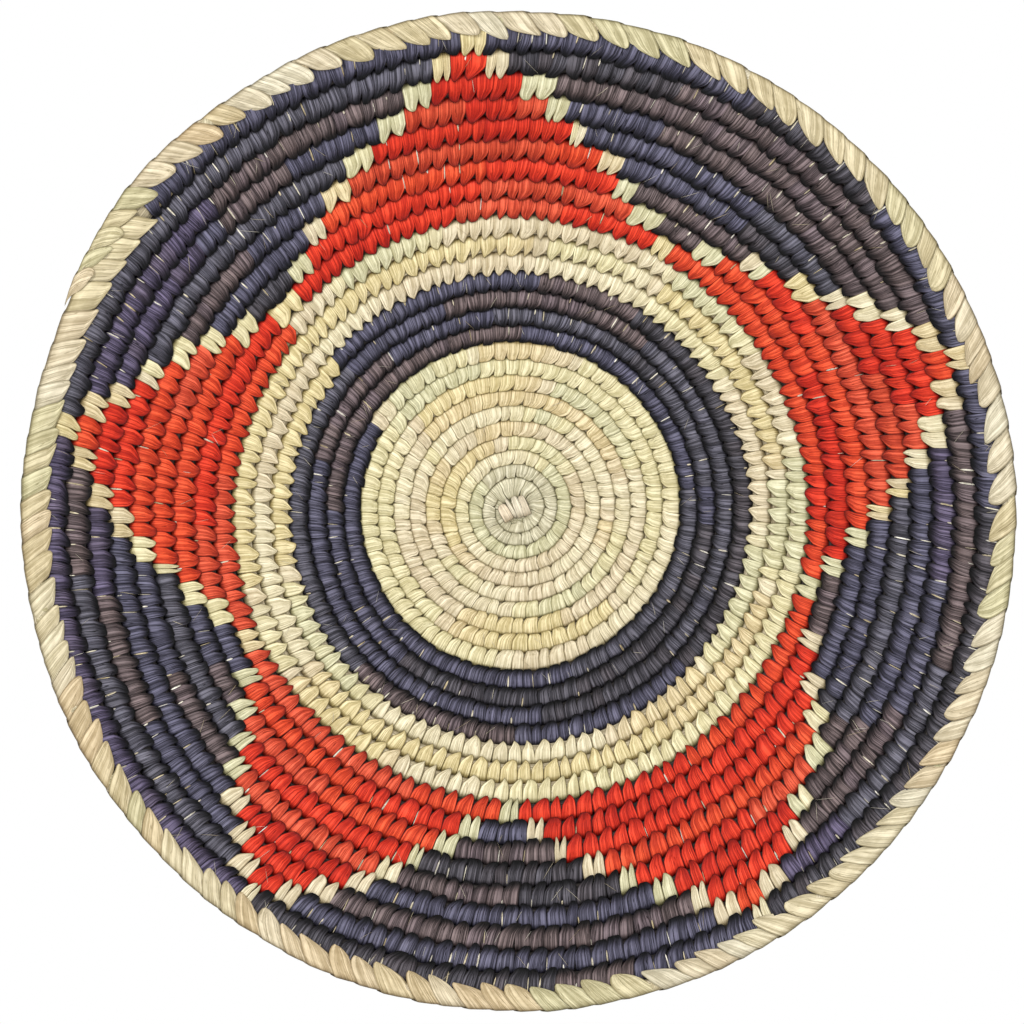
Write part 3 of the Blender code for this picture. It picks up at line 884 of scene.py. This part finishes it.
def rim_strips(turns, size, reach, dice, lift=0.0, tilt=0.0, slant=1.0, rise=1.0):
    """Points of one rim leaf at each turn. A negative slant runs back, a small rise keeps its tip low."""
    half_out, mm_out, half_up, mm_up, left, right, nudge_out, nudge_up = rim_points.T
    size, reach = size[:, None], reach[:, None]
    spread = lambda amount: dice.uniform(-amount, amount, (len(turns), 1))
    narrow = np.clip((right - left) / RIM_FULL_WIDTH, 0.0, 1.0)
    sideways = (left + right) / 2 * (1 + spread(MIDDLE_VARIES)) - point_across * (right - left) * size
    sideways += np.clip(-mm_out / RIM_TIP_LENGTH, 0, 1) * spread(POINT_VARIES)
    middle, pitch, thick, go_out, go_up, _ = frame_beside(turns, slant * sideways / 1000)
    raised = (rim_lift + lift + tilt * point_across + spread(RIM_LIFT_VARIES)
              + spread(RIM_TILT_VARIES) * point_across) * narrow
    out = half_out * pitch / 2 + (mm_out * reach + raised * nudge_out) / 1000
    up = half_up * thick + (mm_up * rise + raised * nudge_up) / 1000
    return middle + go_out * out[..., None] + go_up * up[..., None]


# %% [markdown]
# The leaves follow each other at uneven steps, four in a row of one tone. Near both ends of the row they
# reach less far in.

# %% Lay the rim leaves
RIM_START, RIM_END = EDGE_END - 0.004, ROUNDS + 0.7 * TAIL_TURNS
RIM_SPACING = 0.0112
SAME_TONE = 4  # leaves

dice = np.random.default_rng(70)
arc = 2 * math.pi * boundary(EDGE_END + 0.5) * (RIM_END - EDGE_END)
leaves = round(float(arc) / RIM_SPACING)
gaps = dice.uniform(0.68, 1.32, leaves)
leaf_turns = RIM_START + (np.cumsum(gaps) - gaps / 2) / gaps.sum() * (RIM_END - EDGE_END)
at_end = 1 - 0.6 * np.clip((leaf_turns - ROUNDS + 0.01) / TAIL_TURNS, 0, 1)
at_start = 0.5 + 0.5 * eased((leaf_turns - EDGE_END) / TRIM_TURNS)
reaches = dice.uniform(0.50, 1.05, leaves) * at_end * at_start
leaf_points = rim_strips(leaf_turns, gaps ** 0.5, reaches, dice, tilt=0.8)
leaf_tones = np.repeat(dice.uniform(0, 1, leaves // SAME_TONE + 1), SAME_TONE)[:leaves]
leaf_tones = np.clip(leaf_tones + dice.uniform(-0.12, 0.12, leaves), 0, 1)
copies("rim_braid_leaves", leaf_strip, leaf_points, leaf_tones, braid_leaf, ["rim_braid"], dice)

# %% Lay the strands that cross beneath them
crossed = np.flatnonzero((leaf_turns > EDGE_END + 0.06) & (leaf_turns < ROUNDS - 0.01))
crossings = len(crossed)
crossing_turns = (leaf_turns + 0.9 * np.gradient(leaf_turns))[crossed]
crossing_reaches = dice.uniform(0.0, 0.25, crossings)
crossing_points = rim_strips(crossing_turns, np.full(crossings, 0.6), crossing_reaches, dice,
                             lift=-0.45, slant=-0.8, rise=0.45)
copies("rim_braid_crossings", leaf_strip, crossing_points, dice.uniform(0, 1, crossings), braid_leaf,
       ["rim_braid"], dice)

# %% [markdown]
# ## The knot
# The coil starts as a few strips tied round each other. Each is a closed band, the ring pattern again,
# laid straight. Four wide ones cross low in the middle and close it. One lies over them, and four
# slanting ones lie on top, where the photograph shows them.
#
# For each band the tables give its middle, length and width in mm, its heading in degrees, and how far
# it stands out of the knot in mm.

# %% Bands of the knot
KNOT_CORE = [(0.0, 0.0, 11.5, 7.2, turned, -2.8) for turned in (15, 60, 105, 150)]
KNOT_STRAPS = (
    (-0.6, 0.1, 8.6, 5.0, 15, -1.1),
    (-4.6, -1.5, 7.6, 4.4, -60, -0.1), (-2.2, 0.2, 9.0, 1.5, -60, 0.1),
    (3.1, 1.1, 8.8, 3.3, -68, 0.0), (0.4, 0.7, 9.3, 3.2, -68, 0.3),
)
knot_low, knot_high = (np.array(corner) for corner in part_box("start_knot"))
knot_middle = (knot_low[1] + knot_high[1]) / 2
knot_half = (knot_high[1] - knot_low[1]) / 2
LOOP_MIDDLE, LOOP_LENGTH, LOOP_CROWN = -0.035, 1.29, 0.445


def knot_bands(name, table, sharp, look, tones, seed):
    """Closed bands laid straight across the knot."""
    bands = []
    for right, up, length, width, heading_degrees, proud in table:
        turned = math.radians(heading_degrees)
        along = (strip_points[:, 0] - LOOP_MIDDLE) / LOOP_LENGTH * length
        across = -set_across(point_width ** sharp) * width
        deep = strip_points[:, 1] / LOOP_CROWN * (1000 * knot_half + proud)
        bands.append(np.stack([(right + along * math.cos(turned) - across * math.sin(turned)) / 1000,
                               knot_middle - deep / 1000,
                               (up + along * math.sin(turned) + across * math.cos(turned)) / 1000], -1))
    copies(name, leaf_strip, np.array(bands), tones, look, ["start_knot"], np.random.default_rng(seed))


print(f"knot: {2000 * knot_half:.1f} mm thick")
knot_bands("start_knot_core", KNOT_CORE, 0.0, green_leaf, [0.2, 0.5, 0.1, 0.4], 80)
knot_bands("start_knot_straps", KNOT_STRAPS, 0.22, knot_leaf, (0.0, 0.5, 0.9, 0.7, 0.9), 81)

# %% [markdown]
# ## The fibre bundle
# The bundle fills the strips, so no light comes through the grooves. It is pale under undyed strips, and
# painted dark under dyed ones, as shade in their grooves. It is a curve with a round bevel, made a mesh and
# pressed to the coil's oval.

# %% Bundle of fibre
BUNDLE_STEPS = 48  # points a turn
BUNDLE_BEVEL = 0.001
BUNDLE_WIDE, BUNDLE_THICK = 0.50, 0.84  # in coil widths, and in half thicknesses
STREAKS_ALONG, STREAKS_ROUND = 12, 3  # a turn of the coil, and once round the bundle
# Tones of the bundle: the shaded one is painted shade in the grooves of dyed rows.
PALE_BUNDLE, SHADED_BUNDLE = 0.45, 0.0
BUNDLE_TONES = ((CENTRE_END, PALE_BUNDLE), (CENTRE_END + 0.01, SHADED_BUNDLE),
                (DARK_RING_END, SHADED_BUNDLE), (DARK_RING_END + 0.01, PALE_BUNDLE),
                (PALE_RING_END, PALE_BUNDLE), (PALE_RING_END + 0.01, SHADED_BUNDLE),
                (EDGE_END - 0.01, SHADED_BUNDLE), (EDGE_END, PALE_BUNDLE))


def bundle(name, start, end, node):
    """The fibre from one turn to another."""
    turns = np.linspace(start, end, round((end - start) * BUNDLE_STEPS) + 1)
    middle, pitch, thick, out, up, _ = coil_frame(turns)
    bpy.ops.object.select_all(action="DESELECT")
    bpy.ops.curve.primitive_nurbs_path_add()
    piece = bpy.context.object
    piece.name = name
    curve = piece.data
    curve.splines.clear()
    line = curve.splines.new("POLY")
    line.points.add(len(turns) - 1)
    line.points.foreach_set("co", np.hstack([middle, np.ones((len(turns), 1))]).ravel())
    curve.bevel_depth, curve.bevel_resolution, curve.use_fill_caps = BUNDLE_BEVEL, 2, True
    bpy.ops.object.convert(target="MESH")
    bpy.ops.object.mode_set(mode="EDIT")
    bpy.ops.mesh.select_all(action="SELECT")
    bpy.ops.mesh.remove_doubles(threshold=0.00005)  # the caps come loose
    bpy.ops.mesh.normals_make_consistent(inside=False)
    bpy.ops.object.mode_set(mode="OBJECT")
    piece = bpy.context.object
    mesh = piece.data
    points = np.array([vertex.co for vertex in mesh.vertices])
    at = ((middle ** 2).sum(1)[None] - 2 * points @ middle.T).argmin(1)  # the nearest step
    offset = (points - middle[at]) / BUNDLE_BEVEL
    wide = (offset * out[at]).sum(1) * BUNDLE_WIDE * pitch[at]
    high = (offset * up[at]).sum(1) * BUNDLE_THICK * thick[at]
    points = hand_made(middle[at] + out[at] * wide[:, None] + up[at] * high[:, None])
    mesh.vertices.foreach_set("co", points.ravel())
    around = np.arctan2(high, wide) / (2 * math.pi)
    corner = np.array([loop.vertex_index for loop in mesh.loops])
    streaks = np.stack([turns[at][corner] * STREAKS_ALONG, around[corner] * STREAKS_ROUND], -1)
    add_map(mesh, "strip", streaks)
    add_values(mesh, tone=by_row(turns, *BUNDLE_TONES)[at], grain=np.full(len(at), 0.5))
    bpy.ops.object.shade_smooth_by_angle(angle=math.radians(60))
    stands_for(piece, leaf_fibre, [node])
    print(f"{name}: {len(mesh.polygons)} faces")


bundle("start_fibre_bundle", 0.0, START_END, "start_coil")
bundle("fibre_bundle", START_END, EDGE_END, "foundation_coil")
bundle("rim_fibre_bundle", EDGE_END, RIM_END, "rim_bundle")

# %% [markdown]
# ## Slivers and stray fibres
# Between dyed strips single light fibres of the bundle show as pale slivers, and others stick out of the
# sewing. A short bar, extruded four times, is bent over the coil's crown for each. Extrude numbers its
# points and faces differently at each run, so both are sorted by their place.

# %% Strand, modelled once
STRAND_STEPS = 4

bpy.ops.object.select_all(action="DESELECT")
bpy.ops.mesh.primitive_cube_add(size=1)
strand = bpy.context.object
strand.name = "strand_pattern"
bpy.ops.object.mode_set(mode="EDIT")
bpy.ops.mesh.select_all(action="DESELECT")
bpy.ops.object.mode_set(mode="OBJECT")
for face in strand.data.polygons:
    face.select = face.normal.x > 0.9
bpy.ops.object.mode_set(mode="EDIT")
bpy.context.tool_settings.mesh_select_mode = (False, False, True)
for _ in range(STRAND_STEPS):
    bpy.ops.mesh.extrude_region_move(TRANSFORM_OT_translate={"value": (1, 0, 0)})
bpy.ops.object.mode_set(mode="OBJECT")
strand_points = np.array([vertex.co for vertex in strand.data.vertices])
by_place = np.lexsort(strand_points.round(3).T)
strand_points = strand_points[by_place]
strand_points[:, 0] = (strand_points[:, 0] + 0.5) / (STRAND_STEPS + 1)
normal_of = {}
for face in strand.data.polygons:
    a, b, c, d = by_place.argsort()[list(face.vertices)]
    normal_of[min((a, b, c, d), (c, d, a, b))] = face.normal.copy()  # the same diagonal
strand_faces, strand_map = np.array(sorted(normal_of)), []
for corners in strand_faces:
    normal = normal_of[tuple(corners)]
    side = 0.25 * (abs(normal.z) > 0.5) + 0.5 * (normal.y + normal.z > 0.5)
    for x, y, z in strand_points[corners]:
        strand_map.append((x, side + 0.12 + 0.1 * (z if abs(normal.y) > 0.5 else y)))
light_strand = (strand_faces, np.array(strand_map))
bpy.data.objects.remove(strand)
print("strand:", len(strand_faces), "faces")

# %% Lay strands over the coil
SURFACE_OUT, SURFACE_UP = zip(*sorted((out, up) for out, up, _ in LOOP[:7]))
STRAND_HALF_THICK = 0.00012


def laid_strands(turns, from_out, to_out, slant, half_width, proud):
    """A strand over the crown at each turn: from and to in coil widths, slant is sideways over out."""
    share = strand_points[None, :, 0]
    out = from_out[:, None] + (to_out - from_out)[:, None] * share
    pinch = np.sqrt(np.clip(1.02 - np.abs(2 * share - 1) ** 3, 0.02, 1.0))
    sideways = slant[:, None] * (out - 0.2) * coil_frame(turns)[1][:, None]
    sideways += strand_points[None, :, 1] * 2 * (half_width[:, None] * pinch)
    middle, pitch, thick, go_out, go_up, _ = frame_beside(turns, sideways)
    up = np.interp(out, SURFACE_OUT, SURFACE_UP) * thick / THICKNESS_DRAWN
    flat = np.minimum(half_width[:, None], STRAND_HALF_THICK)
    up += proud[:, None] * (0.3 + 0.7 * pinch) + strand_points[None, :, 2] * 2 * flat
    return middle + go_out * (out * pitch)[..., None] + go_up * up[..., None]


# %% Slivers and stray fibres
LIGHT_FIBRE = (0.3, 1.0)  # tones


def lay_fibres(name, points, dice):
    tones = dice.uniform(*LIGHT_FIBRE, len(points))
    copies(name, light_strand, points, tones, leaf_fibre, ["foundation_coil"], dice)


def slivers(name, look, share, seed):
    """Pale slivers at a share of the seams of one look, over the outer half of the row."""
    dice = np.random.default_rng(seed)
    places = np.array(sorted(seams[look.name]))
    likely = share * by_row(places, (18, 1.0), (23, 1.0), (24, 1.6), (26, 1.6))
    places = places[dice.uniform(0, 1, len(places)) < likely]
    count = len(places)
    to_out = dice.uniform(-0.25, 0.30, count)
    from_out = dice.uniform(0.44, 0.54, count)
    slant = -lean_at(places) + dice.uniform(-0.12, 0.12, count)
    half_width = dice.uniform(0.00010, 0.00034, count)
    proud = np.full(count, 0.00018)
    lay_fibres(name, laid_strands(places, from_out, to_out, slant, half_width, proud), dice)


def hairs(name, look, count, seed):
    """Stray fibres across strips of one look, at any slant."""
    dice = np.random.default_rng(seed)
    places = dice.choice(np.array(sorted(seams[look.name])), count) + dice.uniform(-0.004, 0.004, count)
    from_out = dice.uniform(0.15, 0.5, count)
    to_out = from_out - dice.uniform(0.35, 0.8, count)
    slant = dice.uniform(-1.1, 1.1, count)
    half_width = dice.uniform(0.00004, 0.00008, count)
    proud = dice.uniform(0.0002, 0.0006, count)
    lay_fibres(name, laid_strands(places, from_out, to_out, slant, half_width, proud), dice)


slivers("dark_slivers", dark_leaf, 0.30, 90)
slivers("red_slivers", red_leaf, 0.10, 91)
hairs("dark_stray_fibres", dark_leaf, 170, 92)
hairs("red_stray_fibres", red_leaf, 24, 93)
hairs("pale_stray_fibres", pale_leaf, 40, 94)
